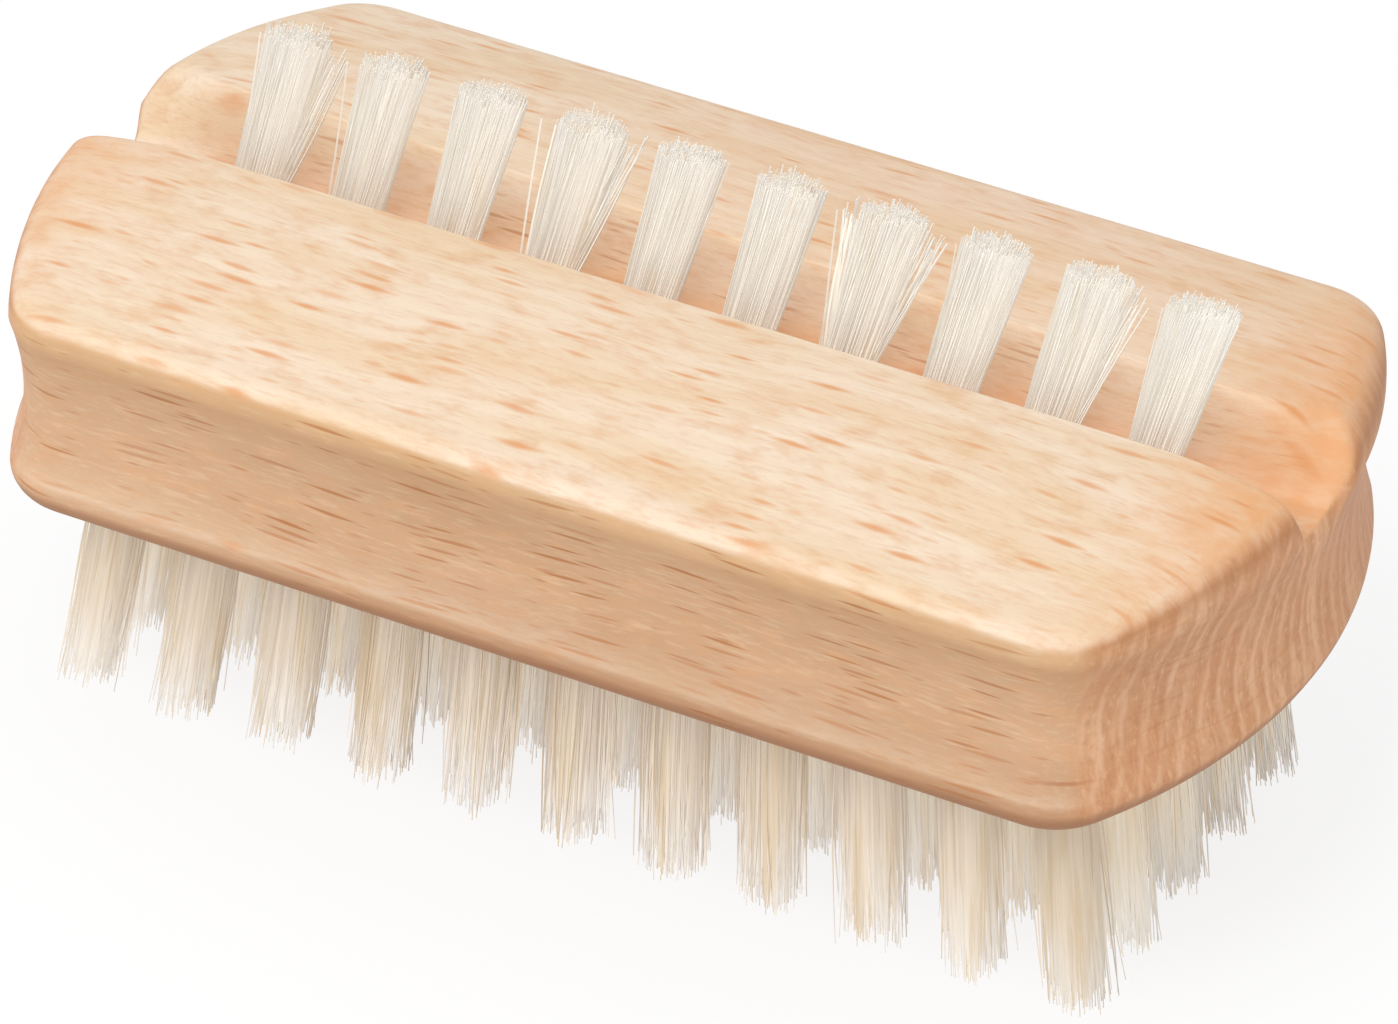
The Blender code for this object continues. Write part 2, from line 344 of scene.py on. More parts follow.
def eased(tree, value, low, high):
    return node(tree, "ShaderNodeMapRange", {"Value": value, "From Min": low, "From Max": high},
                interpolation_type="SMOOTHSTEP").outputs[0]


def clouds(tree, place, scale, detail=2.0, roughness=0.5):
    return node(tree, "ShaderNodeTexNoise", {"Vector": scaled(tree, place, scale), "Scale": 1.0,
                                             "Detail": detail, "Roughness": roughness}).outputs[0]


def mixed(tree, share, first, second, blend="MIX"):
    made = tree.nodes.new("ShaderNodeMix")
    made.data_type = "RGBA"
    made.blend_type = blend
    for place, value in ((0, share), (6, first), (7, second)):
        if isinstance(value, bpy.types.NodeSocket):
            tree.links.new(value, made.inputs[place])
        else:
            made.inputs[place].default_value = value
    return made.outputs[2]


def colour(red, green, blue):
    return tuple(((part / 255 + 0.055) / 1.055) ** 2.4 for part in (red, green, blue)) + (1,)


beech = bpy.data.materials.new("pale_beech")
beech.use_nodes = True
wood = beech.node_tree
shader = wood.nodes["Principled BSDF"]


def product(first, second):
    return maths(wood, "MULTIPLY", first, second)


def spanned(share, low, high):
    return maths(wood, "MULTIPLY_ADD", share, high - low, low)


def left_over(share):
    return maths(wood, "SUBTRACT", 1.0, share)


def size_of(value):
    return maths(wood, "ABSOLUTE", value)


def ramp(value, low, high):
    return eased(wood, value, low, high)


def split(vector):
    return node(wood, "ShaderNodeSeparateXYZ", {0: vector}).outputs


def stained(under, mask, share, *stain):
    return mixed(wood, product(mask, share), under, colour(*stain))


# Distances in the wood are in millimetres from here on, and the fibres sway a little off straight
coordinates = node(wood, "ShaderNodeTexCoord")
place_mm = scaled(wood, coordinates.outputs["Object"], (1000, 1000, 1000))
sway = node(wood, "ShaderNodeTexNoise", {"Vector": scaled(wood, place_mm, (0.035, 0.09, 0.09)), "Scale": 1.0,
                                         "Detail": 2.0}).outputs["Color"]
sway = scaled(wood, shifted(wood, sway, (-0.5, -0.5, -0.5)), (0.0, 3.2, 2.4))
place = shifted(wood, place_mm, sway)
x, y, z = split(place_mm)
facing = split(coordinates.outputs["Normal"])
end_grain = ramp(size_of(facing[0]), 0.46, 0.88)
upward = ramp(facing[2], 0.10, 0.50)
outer_side = product(ramp(size_of(y), 16.0, 19.0), left_over(upward))

# Growth rings, centred far off beyond the far side, so that they stand nearly upright on the ends
ring_width = 1.7
pith = scaled(wood, shifted(wood, place, (0, -88, -6)), (0, 1, 1))
from_pith = node(wood, "ShaderNodeVectorMath", {0: pith}, operation="LENGTH").outputs["Value"]
ring_sway = clouds(wood, place_mm, (0.012, 0.10, 0.16))
ring_place = maths(wood, "MULTIPLY_ADD", ring_sway, 1.2, maths(wood, "DIVIDE", from_pith, ring_width))
ring_share = maths(wood, "FRACT", ring_place)
late_wood = product(ramp(ring_share, 0.10, 0.65), left_over(ramp(ring_share, 0.72, 1.0)))
early_wood = product(ramp(ring_share, 0.0, 0.22), left_over(ramp(ring_share, 0.22, 0.52)))
patches = clouds(wood, place_mm, (0.20, 0.45, 0.30), 3.0, 0.6)


# Ray flecks: one spindle of darker wood in most cells of a long thin lattice
def flecks(grid, reach, rarity, softness):
    cells = node(wood, "ShaderNodeTexVoronoi", {
        "Vector": grid, "Scale": 1.0, "Randomness": 0.85, "Exponent": 1.4},
        voronoi_dimensions="2D", distance="MINKOWSKI")
    luck, size_luck, tone_luck = node(wood, "ShaderNodeSeparateColor", {0: cells.outputs["Color"]}).outputs
    size = spanned(size_luck, reach * 0.6, reach * 1.2)
    body = ramp(left_over(maths(wood, "DIVIDE", cells.outputs["Distance"], size)), 0.0, softness)
    strength = spanned(tone_luck, 0.45, 1.0)
    return product(body, product(strength, ramp(luck, rarity, rarity + 0.05)))


def lattice(cell_length, cell_height, axis, shift):
    swayed = split(shifted(wood, place, shift))
    column = maths(wood, "DIVIDE", swayed[0], cell_length)
    row = maths(wood, "DIVIDE", swayed[axis], cell_height)
    return node(wood, "ShaderNodeCombineXYZ", {0: column, 1: row}).outputs[0]


long_flecks = flecks(lattice(10.4, 0.64, 2, (3.1, 0.4, 0.2)), 0.25, 0.42, 0.5)
short_flecks = flecks(lattice(4.6, 0.56, 2, (11.7, 5.3, 2.9)), 0.24, 0.62, 0.7)
dashes = maths(wood, "MAXIMUM", long_flecks, product(short_flecks, 0.6))
long_dabs = flecks(lattice(9.0, 1.4, 1, (7.9, 1.3, 8.8)), 0.27, 0.40, 0.85)
short_dabs = flecks(lattice(5.2, 1.0, 1, (1.9, 6.3, 3.8)), 0.25, 0.60, 0.85)
dabs = maths(wood, "MAXIMUM", long_dabs, product(short_dabs, 0.5))

# One fine dark line that runs round the near right corner, low on the block
line_height = maths(wood, "MULTIPLY_ADD", clouds(wood, place_mm, (0.09, 0.09, 0.0)), 2.0, 22.7)
line_gap = size_of(maths(wood, "SUBTRACT", z, line_height))
line_reach = node(wood, "ShaderNodeVectorMath", {0: scaled(wood, place_mm, (1, 1, 0)), 1: (43.0, -21.0, 0)},
                  operation="DISTANCE").outputs["Value"]
dark_line = product(left_over(ramp(line_gap, 0.05, 0.22)), left_over(ramp(line_reach, 3.0, 8.5)))

# Fibres and figure, from fine to broad
fine_fibre = clouds(wood, place, (1.6, 12.0, 12.0), 2.0)
fibre = clouds(wood, place, (0.42, 3.6, 3.6), 4.0, 0.60)
figure = clouds(wood, place, (0.30, 0.55, 0.9), 3.0, 0.6)
mottle = clouds(wood, place, (0.05, 0.24, 0.24), 3.0)
speckle = clouds(wood, place_mm, (1.0, 2.6, 1.3), 4.0, 0.7)
upright_fibre = clouds(wood, place_mm, (0.1, 0.62, 0.10), 3.0, 0.55)

# The long grain of top and sides: pale sanded top, sides darkened by painted shade, then figure, fibres and
# late wood over both
mottled = ramp(mottle, 0.34, 0.68)
# painted shade: the sides get a darker tint than the top because less light falls on them
side_tint_painted_shade = mixed(wood, mottled, colour(195, 159, 127), colour(186, 149, 114))
top_tint = mixed(wood, mottled, colour(229, 211, 189), colour(223, 199, 168))
tint = mixed(wood, outer_side, top_tint, side_tint_painted_shade)
tint = stained(tint, ramp(figure, 0.46, 0.76), 0.50, 212, 164, 122)
tint = stained(tint, ramp(fibre, 0.44, 0.74), 0.36, 204, 156, 114)
tint = stained(tint, ramp(fibre, 0.52, 0.28), 0.30, 228, 200, 168)
tint = stained(tint, ramp(fine_fibre, 0.5, 0.8), spanned(upward, 0.34, 0.14), 190, 140, 98)
tint = stained(tint, late_wood, 0.10, 204, 152, 106)

# Painted shade in the channel, darkest on its floor among the tufts; towards the ends warmer wood with
# painted shade, and warmer wood along the far rail
from_middle = size_of(x)
from_channel = size_of(y)
channel_shade_share = product(0.42, ramp(from_middle, 42.0, 34.0))
# painted shade on the channel's floor and lower walls
tint = stained(tint, ramp(from_channel, 4.2, 2.2), channel_shade_share, 228, 172, 122)
# Towards both ends the top is stained warmer: partly wood figure, partly painted shade where the top falls
# away to the end
left_end = product(ramp(x, -34.0, -52.0), ramp(y, 3.0, -4.0))
right_end = ramp(x, 35.0, 46.0)
end_figure_and_shade = product(spanned(ramp(figure, 0.30, 0.60), 0.42, 0.77), spanned(ramp(y, -20.0, -6.0), 0.65, 1.20))
tint = stained(tint, maths(wood, "ADD", right_end, left_end), end_figure_and_shade, 222, 164, 114)
# deeper painted shade on the channel's floor, between the tufts' roots
tint = stained(tint, product(ramp(from_channel, 3.4, 2.2), ramp(from_middle, 42.0, 36.0)), 0.45, 206, 138, 82)
far_warmth = maths(wood, "MULTIPLY_ADD", ramp(x, 36.0, 46.0), 0.08, product(ramp(x, -30.0, 10.0), 0.16))
tint = stained(tint, ramp(y, 1.0, 6.0), far_warmth, 224, 160, 110)

# The sides run from straw under the lip to a painted shade of brown at the foot, darker towards the right,
# and carry the dashes; the top carries the dabs
tint = stained(tint, product(outer_side, ramp(z, 29.0, 34.0)), 0.30, 206, 170, 120)
# painted shade: the lower sides are darkened towards the foot
low_side_shade = product(ramp(z, 27.0, 22.0), product(outer_side, ramp(x, -48.0, 5.0)))
tint = stained(tint, low_side_shade, 0.40, 146, 98, 64)
tint = stained(tint, dabs, spanned(upward, 0.06, 0.78), 210, 140, 82)
dash_tint = mixed(wood, upward, colour(164, 102, 54), colour(208, 134, 74))
tint = mixed(wood, product(dashes, spanned(upward, 0.82, 0.06)), tint, dash_tint)
tint = stained(tint, dark_line, 0.7, 164, 98, 56)

# The end grain of both ends: upright streaks and speckles, pale early wood in patches
end_tint = stained(colour(205, 150, 108), late_wood, 0.30, 186, 127, 84)
end_tint = stained(end_tint, ramp(upright_fibre, 0.50, 0.64), 0.55, 232, 186, 148)
end_tint = stained(end_tint, ramp(upright_fibre, 0.46, 0.34), 0.45, 182, 118, 72)
end_tint = stained(end_tint, ramp(speckle, 0.50, 0.68), 0.45, 170, 110, 68)
end_tint = stained(end_tint, ramp(speckle, 0.46, 0.32), 0.45, 236, 194, 158)
end_tint = stained(end_tint, ramp(mottle, 0.45, 0.7), 0.3, 208, 142, 98)
end_tint = stained(end_tint, early_wood, spanned(ramp(patches, 0.36, 0.62), 0.16, 0.62), 226, 180, 146)
# painted shade: the end grain darkens towards the far side, which turns away from the light
end_tint = stained(end_tint, ramp(y, -4.0, 14.0), 0.42, 172, 116, 80)
tint = mixed(wood, product(end_grain, 0.85), tint, end_tint)

# Where fingers and the sander have rounded the edges the wood is a little smoother, and painted shade makes
# it warmer and darker where the lip turns from the light. Below, where the under edge turns under, painted
# shade darkens it.
edge = node(wood, "ShaderNodeAttribute", attribute_name="lip_wear_and_shade").outputs["Fac"]
wear_and_shade = product(edge, product(ramp(mottle, 0.30, 0.60), maths(wood, "MULTIPLY_ADD", x, -0.006, 0.32)))
wear_and_shade = product(wear_and_shade, ramp(size_of(y), 15.0, 20.0))
tint = mixed(wood, wear_and_shade, tint, colour(196, 144, 88))
# painted shadow at the foot of the lip on the ends
tint = stained(tint, edge, product(end_grain, 0.6), 168, 112, 68)
# painted shade: downward-facing wood low on the block is darkened, most of all at the under edge
tint = stained(tint, ramp(facing[2], 0.10, -0.50), spanned(ramp(z, 26.0, 22.0), 0.34, 0.80), 150, 102, 68)
wood.links.new(tint, shader.inputs["Base Color"])
polish = maths(wood, "MULTIPLY_ADD", fibre, 0.10, 0.52)
polish = maths(wood, "MULTIPLY_ADD", wear_and_shade, -0.12, polish)
wood.links.new(maths(wood, "MULTIPLY_ADD", dashes, 0.08, polish), shader.inputs["Roughness"])
relief = maths(wood, "MULTIPLY_ADD", fibre, -0.6, product(fine_fibre, -0.35))
relief = maths(wood, "MULTIPLY_ADD", dashes, -0.5, relief)
relief = maths(wood, "MULTIPLY_ADD", product(speckle, end_grain), -1.2, relief)
grain = node(wood, "ShaderNodeBump", {"Height": relief, "Strength": 0.22, "Distance": 0.00010})
wood.links.new(grain.outputs[0], shader.inputs["Normal"])
shader.inputs["Specular IOR Level"].default_value = 0.30
drilled.materials.clear()
drilled.materials.append(beech)
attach(block, "root")
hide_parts("wooden_block")

# The anchors are short bits of flat bright wire, driven across the bottom of each hole over the fold of its
# bristles. They stay hidden in the wood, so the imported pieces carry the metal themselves.
anchor_wire = bpy.data.materials.new("anchor_wire")
anchor_wire.use_nodes = True
metal = anchor_wire.node_tree
shader = metal.nodes["Principled BSDF"]
drawn = clouds(metal, node(metal, "ShaderNodeTexCoord").outputs["Object"], (9000, 600, 9000), 3.0)
bright_and_dull = mixed(metal, drawn, colour(206, 202, 194), colour(172, 168, 160))
metal.links.new(bright_and_dull, shader.inputs["Base Color"])
metal.links.new(maths(metal, "MULTIPLY_ADD", drawn, 0.25, 0.22), shader.inputs["Roughness"])
shader.inputs["Metallic"].default_value = 1
for name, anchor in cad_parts.items():
    if name.startswith("top_anchor"):
        anchor.data.materials.clear()
        anchor.data.materials.append(anchor_wire)

# Each tuft is a bundle of stiff bristles folded in half and driven into its hole, so it fills the mouth and
# fans out to a trimmed, slightly ragged end. One tree makes them all: every point it is given is the mouth of
# a hole, with the way that tuft points and the height it is cut at.
tufts = bpy.data.node_groups.new("bristle_tufts", "GeometryNodeTree")
for label, kind, value in (
        ("Mouths", "NodeSocketGeometry", None),
        ("Strands", "NodeSocketInt", 120),
        ("Root radius", "NodeSocketFloat", 0.00205),
        ("Root depth", "NodeSocketFloat", 0.0015),
        ("Flare", "NodeSocketFloat", 0.35),
        ("Flare across", "NodeSocketFloat", 0.06),
        ("Stray reach", "NodeSocketFloat", 0.0012),
        ("Bow", "NodeSocketFloat", 0.0004),
        ("Jitter", "NodeSocketFloat", 0.00035),
        ("Ragged", "NodeSocketFloat", 0.0022),
        ("Thickness", "NodeSocketFloat", 0.00025),
        ("Tip share", "NodeSocketFloat", 0.5),
        ("Sides", "NodeSocketInt", 3),
        ("Seed", "NodeSocketInt", 1),
        ("Finish", "NodeSocketMaterial", None)):
    socket = tufts.interface.new_socket(label, in_out="INPUT", socket_type=kind)
    if value is not None:
        socket.default_value = value
tufts.interface.new_socket("Bristles", in_out="OUTPUT", socket_type="NodeSocketGeometry")
given = tufts.nodes.new("NodeGroupInput").outputs
made = tufts.nodes.new("NodeGroupOutput").inputs


def grow(kind, inputs=None, **settings):
    return node(tufts, kind, inputs, **settings)


def attribute(name, kind):
    return grow("GeometryNodeInputNamedAttribute", {"Name": name}, data_type=kind).outputs["Attribute"]


def stored(geometry, name, kind, value):
    keeper = grow("GeometryNodeStoreNamedAttribute", {"Geometry": geometry, "Name": name, "Value": value},
                  data_type=kind, domain="POINT")
    return keeper.outputs["Geometry"]


def number(operation, first, second=0.0):
    return maths(tufts, operation, first, second)


def vector(operation, first, second):
    return grow("ShaderNodeVectorMath", {0: first, 1: second}, operation=operation).outputs["Vector"]


def stretched(direction, length, tree=tufts):
    longer = node(tree, "ShaderNodeVectorMath", {0: direction, "Scale": length}, operation="SCALE")
    return longer.outputs["Vector"]


def chance(low, high, extra_seed):
    seed = number("ADD", given["Seed"], extra_seed)
    drawn_value = grow("FunctionNodeRandomValue", {2: low, 3: high, "Seed": seed}, data_type="FLOAT")
    return drawn_value.outputs[1]


def sideways(extra_seed):
    seed = number("ADD", given["Seed"], extra_seed)
    drawn_value = grow("FunctionNodeRandomValue", {0: (-1, -1, 0), 1: (1, 1, 0), "Seed": seed},
                       data_type="FLOAT_VECTOR")
    return drawn_value.outputs[0]


# Every hole mouth is copied once for each strand, and the copies are laid out like the seeds of a sunflower
golden_angle = 2.39996
raggedness = 1.8
lock_scale = 900.0
lock_reach = 5.0
stray_rarity = 0.965
points_per_strand = 7
fan_growth = 1.5
slimming_growth = 2.5
points = grow("GeometryNodeMeshToPoints", {"Mesh": given["Mouths"]}).outputs[0]
copies = grow("GeometryNodeDuplicateElements", {"Geometry": points, "Amount": given["Strands"]},
              domain="POINT")
index = copies.outputs["Duplicate Index"]
ring = number("SQRT", number("DIVIDE", number("ADD", index, 0.5), given["Strands"]))
turn = number("ADD", number("MULTIPLY", index, golden_angle), attribute("turn", "FLOAT"))
spot = grow("ShaderNodeCombineXYZ", {0: number("COSINE", turn), 1: number("SINE", turn)}).outputs[0]
offset = stretched(spot, number("MULTIPLY", ring, given["Root radius"]))

# Each strand runs from its foot in the hole to its tip on the cut, and its lock carries it a little aside
aim = attribute("aim", "FLOAT_VECTOR")
aim_z = grow("ShaderNodeSeparateXYZ", {0: aim}).outputs["Z"]
mouth = grow("GeometryNodeInputPosition").outputs[0]
mouth_z = grow("ShaderNodeSeparateXYZ", {0: mouth}).outputs["Z"]
root = vector("ADD", mouth, offset)
shortened = number("MULTIPLY", number("POWER", chance(0.0, 1.0, 1), raggedness), given["Ragged"])
backwards = number("SIGN", number("MULTIPLY", aim_z, -1))
cut_z = number("ADD", attribute("cut", "FLOAT"), number("MULTIPLY", shortened, backwards))
rise = number("DIVIDE", number("SUBTRACT", cut_z, mouth_z), aim_z)
wander = sideways(2)
lock = grow("ShaderNodeTexNoise", {"Vector": stretched(root, lock_scale), "Scale": 1.0, "Detail": 1.0})
lock = vector("MULTIPLY", vector("SUBTRACT", lock.outputs["Color"], (0.5, 0.5, 0.5)), (1, 1, 0))
stray = number("GREATER_THAN", chance(0.0, 1.0, 3), stray_rarity)
stray = number("MULTIPLY", stray, number("MULTIPLY", given["Stray reach"], chance(0.4, 1.0, 4)))
lock_drift = stretched(lock, number("MULTIPLY", given["Jitter"], lock_reach))
drift = vector("ADD", vector("ADD", stretched(wander, given["Jitter"]), lock_drift), stretched(spot, stray))
foot = vector("ADD", root, stretched(aim, number("MULTIPLY", given["Root depth"], -1)))
tip = vector("ADD", vector("ADD", root, stretched(aim, rise)), drift)
bow = stretched(sideways(5), given["Bow"])
spread = grow("ShaderNodeCombineXYZ", {0: given["Flare"], 1: given["Flare across"]}).outputs[0]
fan = vector("MULTIPLY", offset, spread)
bundle = copies.outputs["Geometry"]
for label, value in (("foot", foot), ("tip", tip), ("bow", bow), ("outward", offset), ("fan", fan)):
    bundle = stored(bundle, label, "FLOAT_VECTOR", value)
bundle = stored(bundle, "strand_tone", "FLOAT", chance(0.0, 1.0, 6))

# A strand is a line of seven points, fanned and bowed on its way and slimmer towards its tip
line = grow("GeometryNodeCurvePrimitiveLine").outputs[0]
line = grow("GeometryNodeResampleCurve", {"Curve": line, "Count": points_per_strand}).outputs[0]
strands = grow("GeometryNodeInstanceOnPoints", {"Points": bundle, "Instance": line}).outputs[0]
strands = grow("GeometryNodeRealizeInstances", {"Geometry": strands}).outputs[0]
strands = stored(strands, "strand_run", "FLOAT", grow("GeometryNodeSplineParameter").outputs["Factor"])
run = attribute("strand_run", "FLOAT")
straight = vector("ADD", stretched(attribute("foot", "FLOAT_VECTOR"), number("SUBTRACT", 1.0, run)),
                  stretched(attribute("tip", "FLOAT_VECTOR"), run))
fanned = stretched(attribute("fan", "FLOAT_VECTOR"), number("POWER", run, fan_growth))
bowed = stretched(attribute("bow", "FLOAT_VECTOR"), number("SINE", number("MULTIPLY", run, math.pi)))
shaped = vector("ADD", vector("ADD", straight, fanned), bowed)
strands = grow("GeometryNodeSetPosition", {"Geometry": strands, "Position": shaped}).outputs[0]
most_slimming = number("SUBTRACT", 1.0, given["Tip share"])
slimness = number("SUBTRACT", 1.0, number("MULTIPLY", number("POWER", run, slimming_growth), most_slimming))
radius = number("MULTIPLY", number("MULTIPLY", given["Thickness"], 0.5), slimness)
profile = grow("GeometryNodeCurvePrimitiveCircle", {"Resolution": given["Sides"], "Radius": 1.0}).outputs[0]
skin = grow("GeometryNodeCurveToMesh", {"Curve": strands, "Profile Curve": profile, "Scale": radius,
                                        "Fill Caps": True}).outputs[0]
solid = grow("GeometryNodeSetShadeSmooth", {"Geometry": skin, "Shade Smooth": False}).outputs[0]
solid = grow("GeometryNodeRealizeInstances", {"Geometry": solid}).outputs[0]
solid = grow("GeometryNodeSetMaterial", {"Geometry": solid, "Material": given["Finish"]}).outputs[0]
tufts.links.new(solid, made["Bristles"])


# How the bristles' colour runs: darker and warmer at the root, painted shade of the dense bundle, paler at
# the split tip, each strand a little lighter or darker than the next and some locks yellower. The normals are
# bent outwards and up, which gives the strands together the soft sheen of a dense bundle.
strand_look = bpy.data.node_groups.new("strand_look", "ShaderNodeTree")
for label, way, kind in (
        ("Root", "INPUT", "Color"),
        ("Body", "INPUT", "Color"),
        ("Tip", "INPUT", "Color"),
        ("Lock", "INPUT", "Color"),
        ("Unevenness", "INPUT", "Float"),
        ("Lift", "INPUT", "Float"),
        ("Tint", "OUTPUT", "Color"),
        ("Roughness", "OUTPUT", "Float"),
        ("Silky Normal", "OUTPUT", "Vector")):
    strand_look.interface.new_socket(label, in_out=way, socket_type="NodeSocket" + kind)
look = strand_look.nodes.new("NodeGroupInput").outputs
ends = strand_look.nodes.new("NodeGroupOutput").inputs


def strand_value(name, reading="Fac"):
    return node(strand_look, "ShaderNodeAttribute", attribute_name=name).outputs[reading]


def unit(direction):
    return node(strand_look, "ShaderNodeVectorMath", {0: direction}, operation="NORMALIZE").outputs[0]


tone = strand_value("strand_tone")
run = strand_value("strand_run")
spot = node(strand_look, "ShaderNodeTexCoord").outputs["Object"]
locks = eased(strand_look, clouds(strand_look, spot, (620, 620, 30)), 0.50, 0.66)
# painted shade: the root colour darkens the foot of each strand
tint = mixed(strand_look, eased(strand_look, run, 0.05, 0.40), look["Root"], look["Body"])
tint = mixed(strand_look, eased(strand_look, run, 0.60, 1.0), tint, look["Tip"])
tint = mixed(strand_look, maths(strand_look, "MULTIPLY", locks, 0.7), tint, look["Lock"])
dark = mixed(strand_look, 1.0, tint, (0.80, 0.76, 0.70, 1), "MULTIPLY")
uneven = maths(strand_look, "MULTIPLY", maths(strand_look, "POWER", tone, 2.0), look["Unevenness"])
tint = mixed(strand_look, uneven, tint, dark)
tint = mixed(strand_look, strand_value("tuft_tone"), tint, dark)
strand_look.links.new(tint, ends["Tint"])
strand_look.links.new(maths(strand_look, "MULTIPLY_ADD", tone, 0.18, 0.36), ends["Roughness"])
own = node(strand_look, "ShaderNodeNewGeometry").outputs["Normal"]
outward = unit(strand_value("outward", "Vector"))
agreement = node(strand_look, "ShaderNodeVectorMath", {0: outward, 1: own}, operation="DOT_PRODUCT")
agreed = eased(strand_look, agreement.outputs["Value"], 0.0, 0.7)
outward = stretched(outward, maths(strand_look, "MULTIPLY", agreed, 1.5), strand_look)
lift = node(strand_look, "ShaderNodeCombineXYZ", {2: look["Lift"]}).outputs[0]
silky = unit(shifted(strand_look, own, shifted(strand_look, outward, lift)))
strand_look.links.new(silky, ends["Silky Normal"])


def bristle_finish(name, root, body, tip, lock, unevenness, lift):
    finish = bpy.data.materials.new(name)
    finish.use_nodes = True
    hair = finish.node_tree
    shader = hair.nodes["Principled BSDF"]
    values = {"Root": root, "Body": body, "Tip": tip, "Lock": lock, "Unevenness": unevenness, "Lift": lift}
    look = node(hair, "ShaderNodeGroup", {}, node_tree=strand_look)
    for label, value in values.items():
        look.inputs[label].default_value = value
    for output, target in (("Tint", "Base Color"), ("Roughness", "Roughness"), ("Silky Normal", "Normal")):
        hair.links.new(look.outputs[output], shader.inputs[target])
    return finish


# Light runs through and round real bristles, so strands don't darken one another here. The shade that a tuft
# gives comes from its heart, a slim solid bundle that follows the tuft and ends short of its tips.
def tuft_piece(name, places, finish, slot, nodes, cut, heart=False, tones=None, **sizes):
    points = bpy.data.meshes.new(name)
    points.from_pydata([mouth for mouth, _ in places], [], [])
    aims = [part for _, out in places for part in out]
    points.attributes.new("aim", "FLOAT_VECTOR", "POINT").data.foreach_set("vector", aims)
    spin = random.Random(name)
    turns = [spin.uniform(0, 2 * math.pi) for _ in places]
    tones = tones or [spin.uniform(0, 0.2) for _ in places]
    for label, values in (("turn", turns), ("cut", [cut] * len(places)), ("tuft_tone", tones)):
        points.attributes.new(label, "FLOAT", "POINT").data.foreach_set("value", values)
    piece = bpy.data.objects.new(name, points)
    bpy.context.scene.collection.objects.link(piece)
    growth = piece.modifiers.new("bristles", "NODES")
    growth.node_group = tufts
    sockets = {item.name: item.identifier for item in tufts.interface.items_tree if item.in_out == "INPUT"}
    growth[sockets["Finish"]] = finish
    for label, value in sizes.items():
        growth[sockets[label.replace("_", " ")]] = value
    grown = settled_mesh(piece, name)
    piece.modifiers.clear()
    piece.data = grown
    piece.visible_diffuse = False
    piece.visible_shadow = heart
    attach(piece, "root")
    if nodes:
        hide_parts(*nodes)


heart_shape = dict(Strands=1, Sides=10, Root_radius=0.0, Ragged=0.0, Jitter=0.0, Bow=0.0, Stray_reach=0.0,
                   Tip_share=0.9)

# The long tufts of the field are stiff horn-coloured bristle, set in five rows of eleven holes. The brush
# stands on their cut ends. The near row shows some tufts darker than others, and the darkest is at the right.
horn = bristle_finish("horn_bristle", colour(238, 222, 196), colour(243, 230, 211), colour(250, 246, 240),
                      colour(231, 209, 174), 0.8, 0.2)
# A paler copy of the horn bristle for the tufts under the block: painted light standing in for the light they
# miss in its shade
horn_with_painted_light = bristle_finish("horn_bristle_with_painted_light", colour(254, 239, 212), colour(254, 243, 221),
                           colour(254, 249, 240), colour(250, 229, 194), 0.4, 0.5)
long_bristles = dict(Strands=260, Flare=0.06, Ragged=0.0030, Thickness=0.00017)
field_cut = 0.0001
field_heart_cut = 0.0060
near_tones = [0.6, 0.5, 0.3, 0.3, 0.2, 0.2, 0.3, 0.4, 0.3, 0.5, 1.0]
last_column = field_columns - 1
last_row = field_rows - 1
outer_sides = {"near": [(column, 0) for column in range(field_columns)],
               "far": [(column, last_row) for column in range(field_columns)],
               "left": [(0, row) for row in range(1, last_row)],
               "right": [(last_column, row) for row in range(1, last_row)]}
for count, (side, cells) in enumerate(outer_sides.items()):
    near = side == "near"
    tuft_piece(f"long_tufts_{side}", [field_place(*cell) for cell in cells],
               horn if near else horn_with_painted_light, "field_bristle",
               [f"field_tuft_row{row + 1}_col{column + 1:02d}" for column, row in cells], field_cut,
               tones=near_tones if near else None, Seed=10 * count, **long_bristles)
for count, first in enumerate(range(1, last_column, 3)):
    columns = range(first, first + 3)
    cells = [(column, row) for column in columns for row in range(1, last_row)]
    tuft_piece(f"long_tufts_inner_{count + 1}", [field_place(*cell) for cell in cells],
               horn_with_painted_light, "field_bristle",
               [f"field_tufts_inner_col{column + 1:02d}" for column in columns], field_cut,
               Seed=50 + 10 * count, **long_bristles)
cells = [(column, row) for row in range(field_rows) for column in range(field_columns)]
tuft_piece("long_tuft_hearts", [field_place(*cell) for cell in cells], horn, "field_bristle", [],
           field_heart_cut, heart=True, Thickness=0.0008, **heart_shape)

# The short tufts in the channel are whiter and finer bristle, each held in its hole by a flat anchor. They
# lean along the block, spread along the channel, draw in a little across it and are cut off level.
# The white bristle's root colour is a little brighter than its body: painted light at the foot of the short
# tufts, which the channel shades
white = bristle_finish("white_bristle", colour(254, 250, 240), colour(252, 245, 232), colour(251, 245, 235),
                       colour(250, 238, 218), 0.4, 0.8)
top_cut = underside + floor_height + top_rise
top_heart_drop = 0.0050
top_places = [top_place(count) for count in range(top_tufts)]
tuft_piece("short_tufts", top_places, white, "top_bristle",
           [f"top_tuft_{count + 1:02d}" for count in range(top_tufts)], top_cut, tones=[0.0] * top_tufts,
           Strands=320, Flare=0.36, Flare_across=-0.18, Ragged=0.0007, Thickness=0.00018, Bow=0.0002,
           Jitter=0.00014, Seed=90, Root_radius=0.00185, Tip_share=0.7, Stray_reach=0.0010)
tuft_piece("short_tuft_hearts", top_places, white, "top_bristle", [], top_cut - top_heart_drop, heart=True,
           Thickness=0.0007, **heart_shape)

